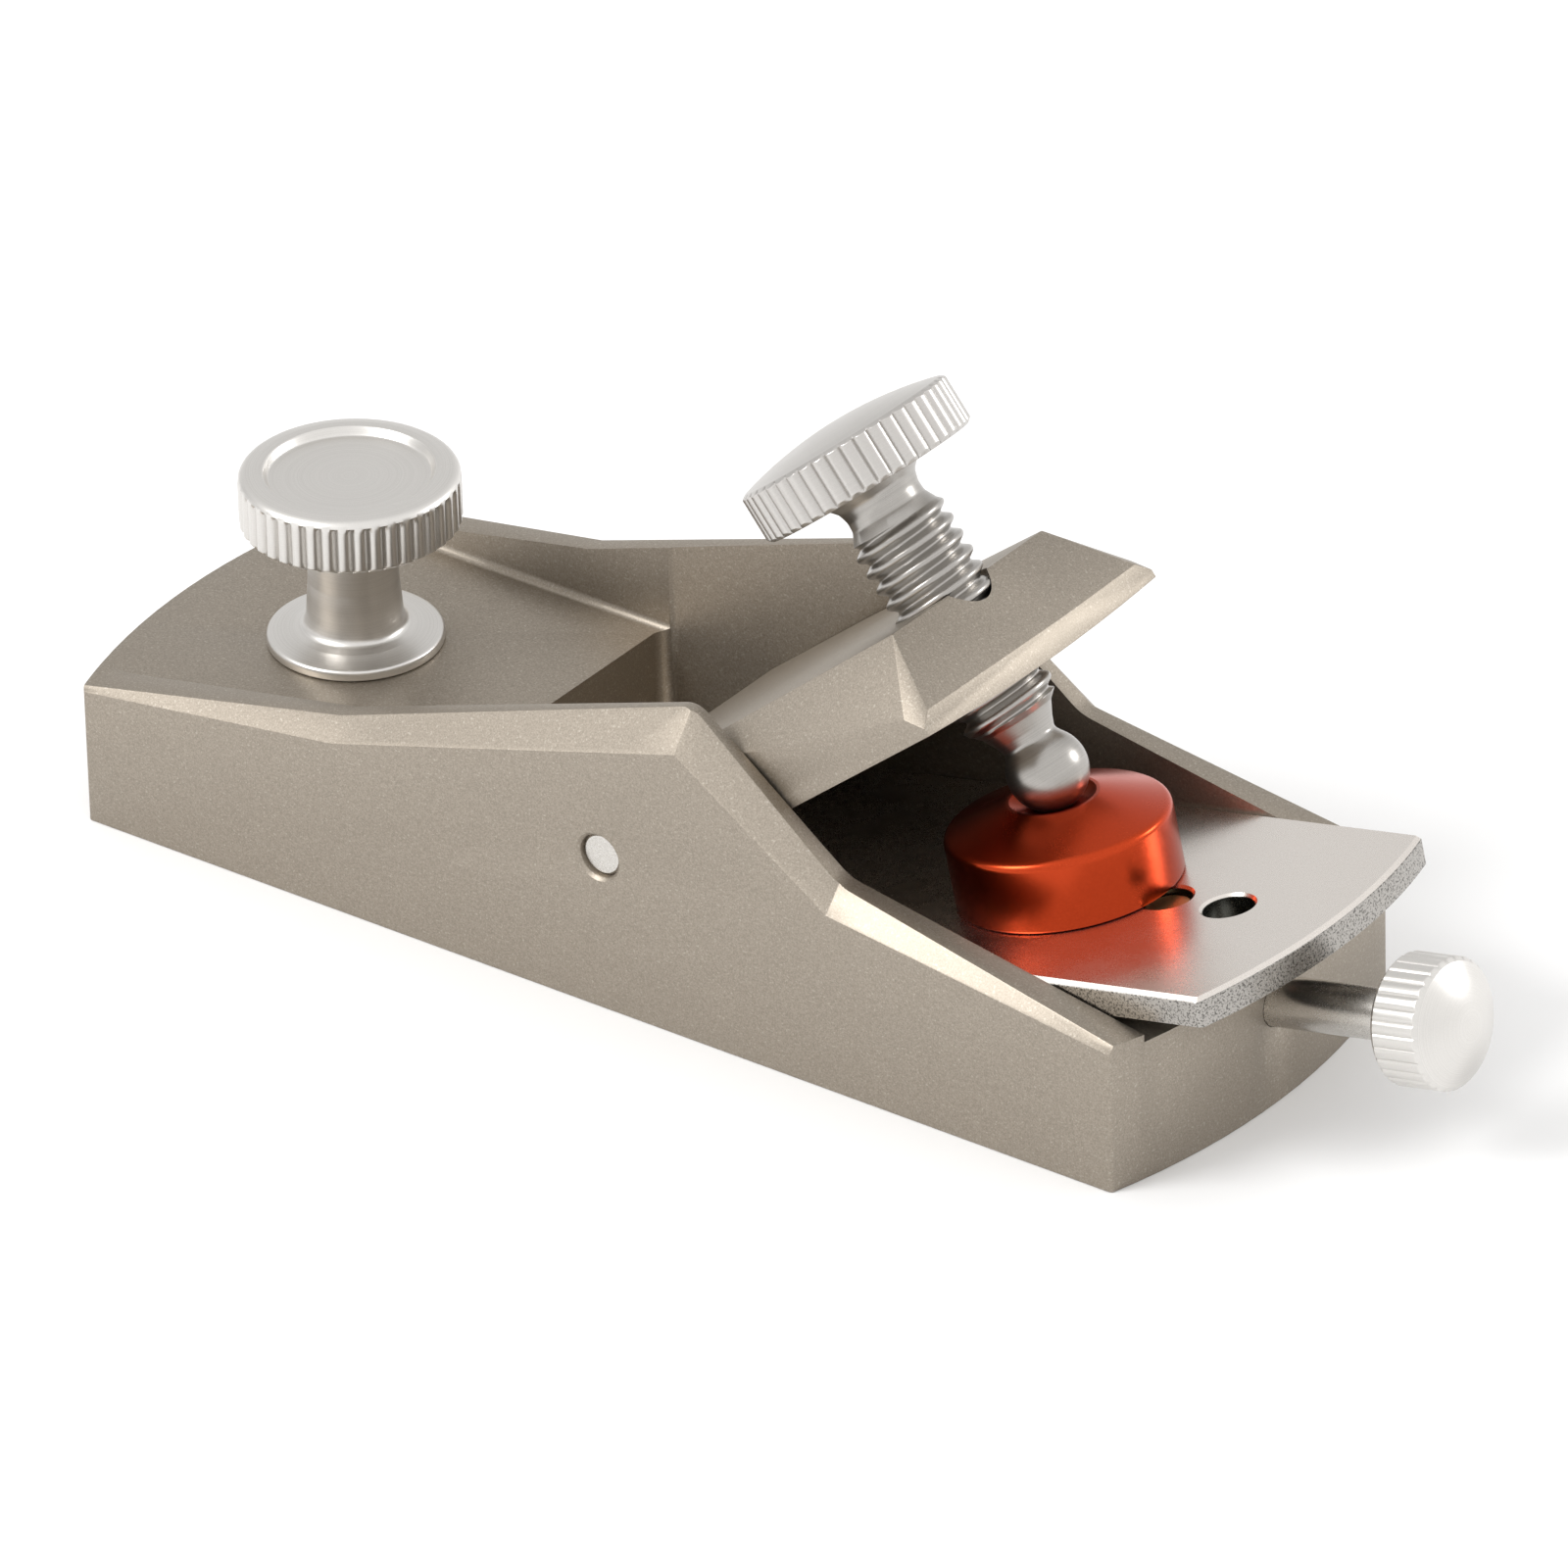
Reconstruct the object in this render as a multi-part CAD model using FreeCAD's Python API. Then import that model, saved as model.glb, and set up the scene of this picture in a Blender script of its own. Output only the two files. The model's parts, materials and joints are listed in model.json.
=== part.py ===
import FreeCAD, Part
import math
import os

# Low-angle hand plane, in millimetres.
# +X points to the toe (forward), +Y to the left side, +Z up.
# The origin is on the sole, midway between the side walls' front and rear corners.

# ---- body ----
cornerLength = 122.0        # side wall, from toe corner to heel corner
bodyWidth = 45.0
toeBulge = 3.7              # how far the curved toe stands past the corners
heelBulge = 3.4
cornerRadius = 0.5          # upright corner edges
channelWidth = 37.0         # gap between the side walls
deckHeight = 14.8           # flat decks in front of the throat and at the heel
deckFillet = 0.8            # foot of the side walls along the front deck

# Side wall crest: distance behind the toe corner, height, and how far the
# outer chamfer reaches inwards and downwards there.
toeCrest = (0.0, 14.8, 0.45, 0.5)
riseCrest = (30.6, 20.7, 1.9, 2.2)
peakCrest = (72.0, 34.7, 3.0, 3.9)
stepCrest = (89.4, 21.4, 2.1, 2.3)
heelCrest = (cornerLength, 15.8, 0.5, 0.9)
peakRadius = 2.5            # rounding of the crest at its highest point
stepRadius = 5.0            # hollow where the crest levels out again

# ---- throat and mouth ----
bedAngle = 12.0
mouthSetback = 43.0         # cutting edge, behind the toe corner
mouthGap = 1.2              # from cutting edge forward to the mouth's lip
lipLength = 2.4             # sole left under the throat's front face
lipThickness = 2.2
bedLandHeight = 0.55        # blunt front edge of the bed, above the sole
throatRadius = 1.8          # upright corners of the throat

# ---- blade ----
bladeThickness = 3.0
bladeLength = 91.5          # cutting edge to the middle of the curved rear end
bladeBulge = 2.9
bladeCornerRadius = 0.6
bladeBevelAngle = 25.0
bladeChamfer = 0.45
bladeSideClearance = 0.2
bladeHoleDiameter = 5.0
bladeHoleChamfer = 0.3
driveHoleSetback = 71.7     # from the cutting edge to the hole that drives the blade
spareHoleSpacing = 7.3      # second hole, used as the blade wears

# ---- lever cap and its pin ----
pinDiameter = 4.5
pinSetback = 62.5           # behind the toe corner
pinHeight = 16.5
pinRecess = 0.7             # pin ends below the wall faces
pinHoleChamfer = 0.3
capSideClearance = 0.3
capAngle = 39.0             # rise of the cap towards the rear
capThickness = 9.5          # at the side faces, square to the top
capCrown = 0.6              # how much deeper the underside is along the middle
capRearHeight = 2.16        # height of the rear edge beside its middle
capRearBulge = 0.1
capBackSlope = 25.4         # fall of the top behind the ridge, from level
ridgeHalfWidth = 11.9
ridgeSetback = 90.0         # behind the toe corner
ridgeHeight = 44.7
sideEdgeAngle = 27.3        # rise of the side face's top edge
sideEdgeDrop = 4.37         # ridge down to that edge's rear end
sideEdgeBack = 5.85         # ridge back to that edge's rear end
facetBack = 7.35            # ridge back to the corner facet's rear end
facetDrop = 3.5
facetInset = 1.6            # that end, in from the side face
noseLandStart = 5.0         # pressing land, from the cutting edge
noseLandLength = 6.0
noseTopBack = 10.5          # top of the nose face, level from the cutting edge
noseRelief = 0.6

# ---- clamp screw ----
ballDiameter = 8.0
ballSetback = 98.95         # ball centre, behind the toe corner
ballHeight = 27.25
ballNeckAngle = 40.0        # where the ball runs into the neck, up from its middle
threadDiameter = 10.0
threadStart = 6.4           # distances from the ball centre along the screw
threadEnd = 27.4
neckDiameter = 5.5          # narrowest, just above the ball
neckAt = 3.3
neckFlareDiameter = 6.2     # from here the neck widens out to the thread
neckFlareAt = 4.2
neckBendDiameter = 7.5
neckBendAt = 5.55
upperWaistDiameter = 7.8
upperWaistAt = 29.6
headDiameter = 22.4
headStart = 31.8
headRim = 5.2
headDome = 1.5
headNeckDiameter = 10.6
headEdge = 0.4

# ---- pressure pad ----
padDiameter = 22.0
padTopDrop = 2.67           # top of the pad, below the ball's centre
padConeHeight = 2.3         # top of the pad, above its rim
padMouthDiameter = 8.4
padMouthDepth = 0.06        # upright wall of the mouth, above the seat
padConeTopDiameter = 9.1
padEdge = 0.5

# ---- depth adjuster ----
adjusterDrop = 6.47         # spindle axis below the underside of the blade
spindleDiameter = 5.0
knobHeelGap = 13.66         # heel's rearmost point to the knob's front face, along the bed
adjusterKnobDiameter = 12.8
adjusterKnobLength = 5.5
adjusterKnobDome = 1.9
adjusterKnobEdge = 0.5
spindleInKnob = 4.5
journalDiameter = 3.0
clipGrooveDiameter = 2.3
clipThickness = 0.6
clipDiameter = 6.0
clipGap = 1.6
washerDiameter = 6.4
washerThickness = 0.5
tailLength = 0.8
drivePinTopGap = 0.8
carriageLength = 7.0
carriageWidth = 9.4
carriageBelow = 3.1
grooveWidth = 10.0
grooveFrontRoom = 2.6
grooveRearRoom = 2.6
grooveFloorGap = 0.35

# ---- front knob ----
frontKnobSetback = 16.0     # axis, behind the toe corner
frontHeadDiameter = 21.7
frontHeadBottom = 12.9      # heights above the deck
frontBandTop = 18.3
frontKnobHeight = 18.9
frontRimDiameter = 19.4
dishDiameter = 16.5
dishDepth = 0.9
stemTopDiameter = 8.9
stemFootDiameter = 9.6
stemFootHeight = 3.2
flangeDiameter = 17.4
flangeEdge = 0.9
flangeTopHeight = 1.6
flangeFlatDiameter = 12.4
studDiameter = 5.0
studLength = 16.0
studInBody = 9.0
studEndGap = 0.5

# ---- clearances ----
runningClearance = 0.05     # radial, turning and sliding fits
fixedClearance = 0.02       # radial, pieces that stay put
restGap = 0.05              # faces of different bodies that bear on each other

# ---- worked out from the values above ----
toeX = cornerLength / 2.0
heelX = -cornerLength / 2.0
halfWidth = bodyWidth / 2.0
halfChannel = channelWidth / 2.0
mouthX = toeX - mouthSetback
lipX = mouthX + mouthGap
throatX = lipX + lipLength
bedRise = math.tan(math.radians(bedAngle))
bedSin = math.sin(math.radians(bedAngle))
bedCos = math.cos(math.radians(bedAngle))
knobFrontSetback = (mouthX - heelX + heelBulge) / bedCos + knobHeelGap
capSin = math.sin(math.radians(capAngle))
capCos = math.cos(math.radians(capAngle))
bladeHalfWidth = halfChannel - bladeSideClearance
capHalfWidth = halfChannel - capSideClearance
far = 200.0                 # reach of cutting tools past the object


def vec(x, y, z):
    return FreeCAD.Vector(x, y, z)


def crestX(crest):
    return toeX - crest[0]


def prismAlongY(points, halfDepth):
    """Solid from an outline of (x, z) points, centred on the middle plane."""
    corners = [vec(x, -halfDepth, z) for x, z in points]
    outline = Part.makePolygon(corners + corners[:1])
    return Part.Face(outline).extrude(vec(0, 2 * halfDepth, 0))


def turned(points):
    """Solid of revolution about Z from (radius, height) points."""
    corners = [vec(r, 0, z) for r, z in points]
    outline = Part.makePolygon(corners + corners[:1])
    return Part.Face(outline).revolve(vec(0, 0, 0), vec(0, 0, 1), 360)


def turnedEdges(edges):
    """Solid of revolution about Z from a closed run of edges in the XZ plane."""
    return Part.Face(Part.Wire(edges)).revolve(vec(0, 0, 0), vec(0, 0, 1), 360)


def line(a, b):
    return Part.LineSegment(vec(a[0], 0, a[1]), vec(b[0], 0, b[1])).toShape()


def arc(a, b, c):
    return Part.Arc(vec(a[0], 0, a[1]), vec(b[0], 0, b[1]), vec(c[0], 0, c[1])).toShape()


def placed(shape, origin, zDirection, xDirection):
    """Moves a shape from its own axes to the given ones."""
    zAxis = FreeCAD.Vector(zDirection).normalize()
    xAxis = FreeCAD.Vector(xDirection).normalize()
    yAxis = zAxis.cross(xAxis)
    move = FreeCAD.Placement(origin, FreeCAD.Rotation(xAxis, yAxis, zAxis, "ZXY"))
    moved = shape.copy()
    moved.Placement = move.multiply(shape.Placement)
    return moved


bedBack = vec(-bedCos, 0, bedSin)       # up the bed, towards the heel
bedNormal = vec(bedSin, 0, bedCos)
mouthPoint = vec(mouthX, 0, 0)
screwUp = vec(capSin, 0, capCos)
capBack = vec(-capCos, 0, capSin)
ballCentre = vec(toeX - ballSetback, 0, ballHeight)
ridgePoint = vec(toeX - ridgeSetback, 0, ridgeHeight)
pinPoint = vec(toeX - pinSetback, 0, pinHeight)


def onBed(shape):
    """From bed axes (X up the bed, Z off the bed) to the object's axes."""
    return placed(shape, mouthPoint, bedNormal, bedBack)


def onSpindle(shape, setback):
    """From turning axes (Z towards the knob) to the spindle's place."""
    start = mouthPoint + bedBack * setback - bedNormal * adjusterDrop
    return placed(shape, start, bedBack, vec(0, 1, 0))


def halfSpace(point, normal):
    """Block that fills everything on the normal's side of a plane."""
    block = Part.makeBox(2 * far, 2 * far, 2 * far, vec(-far, -far, 0))
    side = vec(0, 1, 0).cross(normal)
    if side.Length < 0.1:
        side = vec(1, 0, 0)
    return placed(block, point, normal, side)


def mirrored(shape):
    return shape.mirror(vec(0, 0, 0), vec(0, 1, 0))


def arcRadius(halfChord, bulge):
    return (halfChord ** 2 + bulge ** 2) / (2.0 * bulge)


def bodyPlan():
    """Plan outline: straight sides, curved toe and heel."""
    toeLeft = vec(toeX, halfWidth, 0)
    toeRight = vec(toeX, -halfWidth, 0)
    heelLeft = vec(heelX, halfWidth, 0)
    heelRight = vec(heelX, -halfWidth, 0)
    edges = [
        Part.Arc(toeRight, vec(toeX + toeBulge, 0, 0), toeLeft).toShape(),
        Part.LineSegment(toeLeft, heelLeft).toShape(),
        Part.Arc(heelLeft, vec(heelX - heelBulge, 0, 0), heelRight).toShape(),
        Part.LineSegment(heelRight, toeRight).toShape(),
    ]
    return Part.Face(Part.Wire(edges))


def crestOutline():
    """Side view of the walls, past both ends, with the peak and hollow rounded."""
    toe, rise, peak, step, heel = [
        (crestX(c), c[1]) for c in (toeCrest, riseCrest, peakCrest, stepCrest, heelCrest)]
    fall = (step[1] - heel[1]) / (step[0] - heel[0])
    past = 2.0 * (toeBulge + heelBulge)
    rear = (heel[0] - past, heel[1] - fall * past)
    front = (toe[0] + past, toe[1])
    points = [(front[0], 0.0), front, toe, rise, peak, step, rear, (rear[0], 0.0)]
    solid = prismAlongY(points, halfWidth + 1.0)
    for corner, radius in ((peak, peakRadius), (step, stepRadius)):
        edges = [e for e in solid.Edges if isEdgeAlongY(e, corner)]
        solid = solid.makeFillet(radius, edges)
    return solid


def isEdgeAlongY(edge, corner):
    box = edge.BoundBox
    flat = box.XLength < 0.01 and box.ZLength < 0.01
    return flat and abs(box.XMin - corner[0]) < 0.01 and abs(box.ZMin - corner[1]) < 0.01


def wallChamferTool():
    """Tapering wedge that takes the outer top edge off the left wall."""
    sections = []
    for crest in (toeCrest, riseCrest, peakCrest, stepCrest, heelCrest):
        x = crestX(crest)
        inner = (halfWidth - crest[2], crest[1])
        outer = (halfWidth, crest[1] - crest[3])
        run = (outer[0] - inner[0], outer[1] - inner[1])
        top = (inner[0] - run[0], inner[1] - run[1])
        low = (outer[0] + run[0], outer[1] + run[1])
        sections.append((x, top, low, (low[0], top[1])))
    sections.insert(0, extended(sections[0], sections[0], 2 * toeBulge))
    sections.append(extended(sections[-1], sections[-2], -2 * heelBulge))
    wires = []
    for x, top, low, corner in sections:
        points = [vec(x, top[0], top[1]), vec(x, low[0], low[1]), vec(x, corner[0], corner[1])]
        wires.append(Part.makePolygon(points + points[:1]))
    return Part.makeLoft(wires, True, True)


def extended(last, before, step):
    """The next section past the last one, on the same straight lines."""
    span = last[0] - before[0]
    share = step / span if span else 0.0
    points = [(p[0] + (p[0] - q[0]) * share, p[1] + (p[1] - q[1]) * share)
              for p, q in zip(last[1:], before[1:])]
    return (last[0] + step,) + tuple(points)


def frontDeckCut():
    """Space over the front deck, rounded along the foot of both walls."""
    length = toeX + 2 * toeBulge - throatX + 1.0
    block = Part.makeBox(length, channelWidth, far, vec(throatX - 1.0, -halfChannel, deckHeight))
    edges = [e for e in block.Edges
             if e.BoundBox.XLength > length - 0.1 and e.BoundBox.ZMax < deckHeight + 0.1]
    return block.makeFillet(deckFillet, edges)


def throatCut():
    """Throat, mouth, bed and rear deck, cut between the walls in one outline."""
    bedFront = mouthX - bedLandHeight / bedRise
    bedEnd = mouthX - deckHeight / bedRise
    past = heelX - 4 * heelBulge
    outline = [
        (throatX, far), (throatX, lipThickness), (lipX, lipThickness), (lipX, -1.0),
        (bedFront, -1.0), (bedFront, bedLandHeight), (bedEnd, deckHeight),
        (past, deckHeight), (past, far),
    ]
    cut = prismAlongY(outline, halfChannel)
    edges = [e for e in cut.Edges
             if e.BoundBox.ZLength > far / 2 and abs(e.BoundBox.XMin - throatX) < 0.01]
    return cut.makeFillet(throatRadius, edges)


def carriagePlace():
    """Where the carriage's rear face stands, along the bed from the mouth."""
    return driveHoleSetback + carriageLength / 2.0


def grooveEnds():
    rear = carriagePlace() + grooveRearRoom
    front = driveHoleSetback - carriageLength / 2.0 - washerThickness
    front = front - clipThickness - tailLength - grooveFrontRoom
    return front, rear


def grooveCut():
    """Slot under the blade that the adjuster carriage slides in."""
    front, rear = grooveEnds()
    depth = adjusterDrop + carriageBelow + grooveFloorGap
    block = Part.makeBox(rear - front, grooveWidth, depth + 10.0,
                         vec(front, -grooveWidth / 2.0, -depth))
    return onBed(block)


def spindleBore():
    front, rear = grooveEnds()
    radius = spindleDiameter / 2.0 + runningClearance
    length = knobFrontSetback - rear + 1.0
    return onSpindle(Part.makeCylinder(radius, length, vec(0, 0, -1.0)), rear)


def pinBore():
    radius = pinDiameter / 2.0 + fixedClearance
    bore = Part.makeCylinder(radius, bodyWidth + 2, vec(pinPoint.x, -halfWidth - 1, pinPoint.z),
                             vec(0, 1, 0))
    for side in (-1, 1):
        mouth = Part.makeCone(radius + pinHoleChamfer, radius, pinHoleChamfer,
                              vec(pinPoint.x, side * halfWidth, pinPoint.z), vec(0, -side, 0))
        bore = bore.fuse(mouth)
    return bore


def makeBody():
    top = peakCrest[1] + 5.0
    shell = bodyPlan().extrude(vec(0, 0, top))
    uprights = [e for e in shell.Edges if e.BoundBox.ZLength > top - 0.1]
    shell = shell.makeFillet(cornerRadius, uprights)
    shell = shell.common(crestOutline())
    left = wallChamferTool()
    cuts = [left, mirrored(left), frontDeckCut(), throatCut(), grooveCut(), spindleBore(), pinBore()]
    for cut in cuts:
        shell = shell.cut(cut)
    studHole = Part.makeCylinder(studDiameter / 2.0 + fixedClearance, studInBody + studEndGap + 1.0,
                                 vec(toeX - frontKnobSetback, 0,
                                     deckHeight - studInBody - studEndGap))
    return shell.cut(studHole)


def makeCrossPin():
    length = bodyWidth - 2 * pinRecess
    pin = Part.makeCylinder(pinDiameter / 2.0, length,
                            vec(pinPoint.x, -length / 2.0, pinPoint.z), vec(0, 1, 0))
    ends = [e for e in pin.Edges if e.BoundBox.YLength < 0.01 and len(e.Vertexes) == 1]
    return pin.makeChamfer(pinHoleChamfer, ends)


def makeBlade():
    """Plate on the bed, with a bevelled front edge and a curved rear end."""
    back = bladeLength - bladeBulge
    w = bladeHalfWidth
    edges = [
        Part.LineSegment(vec(0, -w, 0), vec(back, -w, 0)).toShape(),
        Part.Arc(vec(back, -w, 0), vec(bladeLength, 0, 0), vec(back, w, 0)).toShape(),
        Part.LineSegment(vec(back, w, 0), vec(0, w, 0)).toShape(),
        Part.LineSegment(vec(0, w, 0), vec(0, -w, 0)).toShape(),
    ]
    plate = Part.Face(Part.Wire(edges)).extrude(vec(0, 0, bladeThickness - restGap))
    rear = [e for e in plate.Edges
            if e.BoundBox.ZLength > 1 and abs(e.BoundBox.XMin - back) < 0.01]
    plate = plate.makeFillet(bladeCornerRadius, rear)
    topEdges = [e for e in plate.Edges if e.BoundBox.ZMin > bladeThickness - restGap - 0.01
                and e.BoundBox.XMax > 0.01]
    plate = plate.makeChamfer(bladeChamfer, topEdges)
    grind = math.radians(bladeBevelAngle)
    for place in (driveHoleSetback, driveHoleSetback + spareHoleSpacing):
        plate = plate.cut(bladeHole(place))
    plate = plate.cut(halfSpace(vec(0, 0, 0), vec(-math.sin(grind), 0, math.cos(grind))))
    plate.translate(vec(0, 0, restGap))
    return onBed(plate)


def bladeHole(place):
    radius = bladeHoleDiameter / 2.0
    top = bladeThickness - restGap
    hole = Part.makeCylinder(radius, bladeThickness + 2, vec(place, 0, -1))
    mouth = Part.makeCone(radius, radius + bladeHoleChamfer, bladeHoleChamfer,
                          vec(place, 0, top - bladeHoleChamfer))
    return hole.fuse(mouth)


def crossing(a, aDirection, b, bDirection):
    """Where two lines in the XZ plane meet."""
    gap = b - a
    spread = aDirection.x * bDirection.z - aDirection.z * bDirection.x
    reach = (gap.x * bDirection.z - gap.z * bDirection.x) / spread
    return a + aDirection * reach


def capOutline():
    """Side view of the lever cap, from the nose on the blade to the rear edge."""
    bladeTop = bladeThickness + restGap
    landFront = mouthPoint + bedBack * noseLandStart + bedNormal * bladeTop
    landRear = landFront + bedBack * noseLandLength
    reliefFoot = landRear + bedNormal * noseRelief
    deepest = ridgePoint - screwUp * (capThickness + capCrown)
    reliefEnd = crossing(reliefFoot, bedBack, deepest, capBack)
    past = capRearSetback() + capRearBulge + 0.3
    noseTop = crossing(landFront + vec(-noseTopBack + noseLandStart, 0, 0), vec(0, 0, 1),
                       ridgePoint, capBack)
    rearLow = deepest + capBack * past
    rearTop = ridgePoint + capBack * past - screwUp * past * backFall()
    corners = [landFront, landRear, reliefFoot, reliefEnd, rearLow, rearTop, ridgePoint, noseTop]
    return [(p.x, p.z) for p in corners]


def backFall():
    """Drop of the rear slope below the cap's top plane, for each mm backwards."""
    return math.tan(math.radians(capAngle + capBackSlope))


def capRearSetback():
    """Rear edge behind the ridge, measured along the cap."""
    return (capThickness - capRearHeight) / backFall()


def facing(a, b, c, side):
    """Outward normal of the plane through three points."""
    normal = (b - a).cross(c - a)
    if normal.y * side < 0:
        normal = normal * -1.0
    return normal


def makeLeverCap():
    """Wedge that presses the blade down, with faceted sides and a crowned underside."""
    cap = prismAlongY(capOutline(), capHalfWidth)
    crownRadius = arcRadius(capHalfWidth, capCrown)
    crownAxis = ridgePoint + screwUp * (crownRadius - capThickness - capCrown)
    crown = Part.makeCylinder(crownRadius, 2 * far, crownAxis - capBack * far, capBack)
    cap = cap.common(crown)
    rearRadius = arcRadius(capHalfWidth, capRearBulge)
    rearAxis = ridgePoint + capBack * (capRearSetback() + capRearBulge - rearRadius)
    rear = Part.makeCylinder(rearRadius, 2 * far, rearAxis - screwUp * far, screwUp)
    cap = cap.common(rear)
    rise = math.radians(sideEdgeAngle)
    for side in (1, -1):
        ridgeEnd = ridgePoint + vec(0, side * ridgeHalfWidth, 0)
        edgeRear = ridgePoint + vec(-sideEdgeBack, side * capHalfWidth, -sideEdgeDrop)
        edgeFront = edgeRear + vec(math.cos(rise), 0, -math.sin(rise)) * 10.0
        facetY = side * (capHalfWidth - facetInset)
        facetRear = ridgePoint + vec(-facetBack, facetY, -facetDrop)
        cap = cap.cut(halfSpace(edgeRear, facing(edgeRear, edgeFront, ridgeEnd, side)))
        cap = cap.cut(halfSpace(edgeRear, facing(edgeRear, ridgeEnd, facetRear, side)))
    pivot = Part.makeCylinder(pinDiameter / 2.0 + runningClearance, bodyWidth,
                              vec(pinPoint.x, -halfWidth, pinPoint.z), vec(0, 1, 0))
    screw = Part.makeCylinder(threadDiameter / 2.0 + runningClearance, far, ballCentre, screwUp)
    return cap.cut(pivot).cut(screw)


def makeClampScrew():
    """Screw turned in one piece: ball, thread and fluted head."""
    ball = ballDiameter / 2.0
    thread = threadDiameter / 2.0
    neck = (neckDiameter / 2.0, neckAt)
    neckFlare = (neckFlareDiameter / 2.0, neckFlareAt)
    neckBend = (neckBendDiameter / 2.0, neckBendAt)
    upper = upperWaistDiameter / 2.0
    head = headDiameter / 2.0
    rimTop = headStart + headRim
    neckAngle = math.radians(ballNeckAngle)
    neckFoot = (ball * math.cos(neckAngle), ball * math.sin(neckAngle))
    flare = (headNeckDiameter / 2.0, headStart)
    domeHigh = rimTop + headDome
    domeEdge = head - headEdge
    domeRadius = arcRadius(domeEdge, headDome)
    domeAngle = math.asin(domeEdge / domeRadius) / 2.0
    domeMiddle = (domeRadius * math.sin(domeAngle),
                  domeHigh - domeRadius * (1.0 - math.cos(domeAngle)))
    edges = [
        arc((0, -ball), (ball, 0), neckFoot),
        arc(neckFoot, neck, neckFlare),
        arc(neckFlare, neckBend, (thread - 0.5, threadStart)),
        line((thread - 0.5, threadStart), (thread, threadStart + 0.5)),
        line((thread, threadStart + 0.5), (thread, threadEnd - 0.3)),
        line((thread, threadEnd - 0.3), (thread - 0.3, threadEnd)),
        arc((thread - 0.3, threadEnd), (upper, upperWaistAt), flare),
        line(flare, (head - headEdge, headStart)),
        line((head - headEdge, headStart), (head, headStart + headEdge)),
        line((head, headStart + headEdge), (head, rimTop - headEdge)),
        line((head, rimTop - headEdge), (domeEdge, rimTop)),
        arc((domeEdge, rimTop), domeMiddle, (0, domeHigh)),
        line((0, domeHigh), (0, -ball)),
    ]
    return placed(turnedEdges(edges), ballCentre, screwUp, vec(0, 1, 0))


def padCentre():
    """Foot of the pad's axis on the blade, and the ball's height above it."""
    bladeTop = bladeThickness + restGap
    reach = (ballCentre - mouthPoint).dot(bedNormal) - bladeTop
    return ballCentre - bedNormal * reach, reach


def makePressurePad():
    """Disc with a low cone on top and a hollow seat that the ball touches all round."""
    foot, reach = padCentre()
    radius = padDiameter / 2.0
    mouth = padMouthDiameter / 2.0
    coneTop = padConeTopDiameter / 2.0
    high = reach - padTopDrop
    rimHeight = high - padConeHeight
    mouthHeight = high - padMouthDepth
    mouthDrop = padTopDrop + padMouthDepth
    ball = ballDiameter / 2.0 + restGap
    slope = math.asin(ball / math.hypot(mouth, mouthDrop)) - math.atan2(mouthDrop, mouth)
    seatTip = reach - ball / math.cos(slope)
    points = [
        (0, 0), (radius - padEdge, 0), (radius, padEdge), (radius, rimHeight - padEdge),
        (radius - padEdge, rimHeight), (coneTop, high), (mouth, high),
        (mouth, mouthHeight), (0, seatTip),
    ]
    return placed(turned(points), foot, bedNormal, bedBack)


def makeCarriage():
    """Block in the groove that the spindle pushes and the drive pin stands in."""
    top = -4 * restGap
    low = -adjusterDrop - carriageBelow
    start = driveHoleSetback - carriageLength / 2.0
    block = Part.makeBox(carriageLength, carriageWidth, top - low,
                         vec(start, -carriageWidth / 2.0, low))
    uprights = [e for e in block.Edges if e.BoundBox.ZLength > 1]
    block = block.makeChamfer(0.4, uprights)
    bore = Part.makeCylinder(journalDiameter / 2.0 + runningClearance, carriageLength + 2,
                             vec(start - 1, 0, -adjusterDrop), vec(1, 0, 0))
    seat = Part.makeCylinder(drivePinDiameter() / 2.0 + fixedClearance, 10,
                             vec(driveHoleSetback, 0, drivePinFoot()))
    return onBed(block.cut(bore).cut(seat))


def drivePinDiameter():
    return bladeHoleDiameter - 2 * runningClearance


def drivePinFoot():
    """Foot of the drive pin, just above the bore for the spindle's journal."""
    return -adjusterDrop + journalDiameter / 2.0 + 1.0


def makeDrivePin():
    height = bladeThickness - drivePinTopGap - drivePinFoot()
    pin = Part.makeCylinder(drivePinDiameter() / 2.0, height,
                            vec(driveHoleSetback, 0, drivePinFoot()))
    topEdge = [e for e in pin.Edges if e.BoundBox.ZMin > bladeThickness - drivePinTopGap - 0.01]
    return onBed(pin.makeChamfer(0.3, topEdge))


def clipStart():
    """Rear face of the retaining clip, forward of the spindle's shoulder."""
    return carriageLength + washerThickness + 4 * restGap


def makeSpindle():
    """Shaft with a journal for the carriage, a thread in the heel and a plain shank."""
    shank = spindleDiameter / 2.0
    journal = journalDiameter / 2.0
    groove = clipGrooveDiameter / 2.0
    clipFront = clipStart() + clipThickness
    tip = clipFront + tailLength
    end = knobFrontSetback + spindleInKnob - carriagePlace()
    points = [
        (0, -tip), (journal - 0.2, -tip), (journal, -tip + 0.2), (journal, -clipFront),
        (groove, -clipFront), (groove, -clipStart()), (journal, -clipStart()),
        (journal, restGap), (shank - 0.2, restGap), (shank, restGap + 0.2),
        (shank, end), (0, end),
    ]
    return onSpindle(turned(points), carriagePlace())


def makeThrustWasher():
    start = -carriageLength - washerThickness - 2 * restGap
    ring = Part.makeCylinder(washerDiameter / 2.0, washerThickness, vec(0, 0, start))
    hole = Part.makeCylinder(journalDiameter / 2.0 + runningClearance, washerThickness + 2,
                             vec(0, 0, start - 1))
    return onSpindle(ring.cut(hole), carriagePlace())


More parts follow.
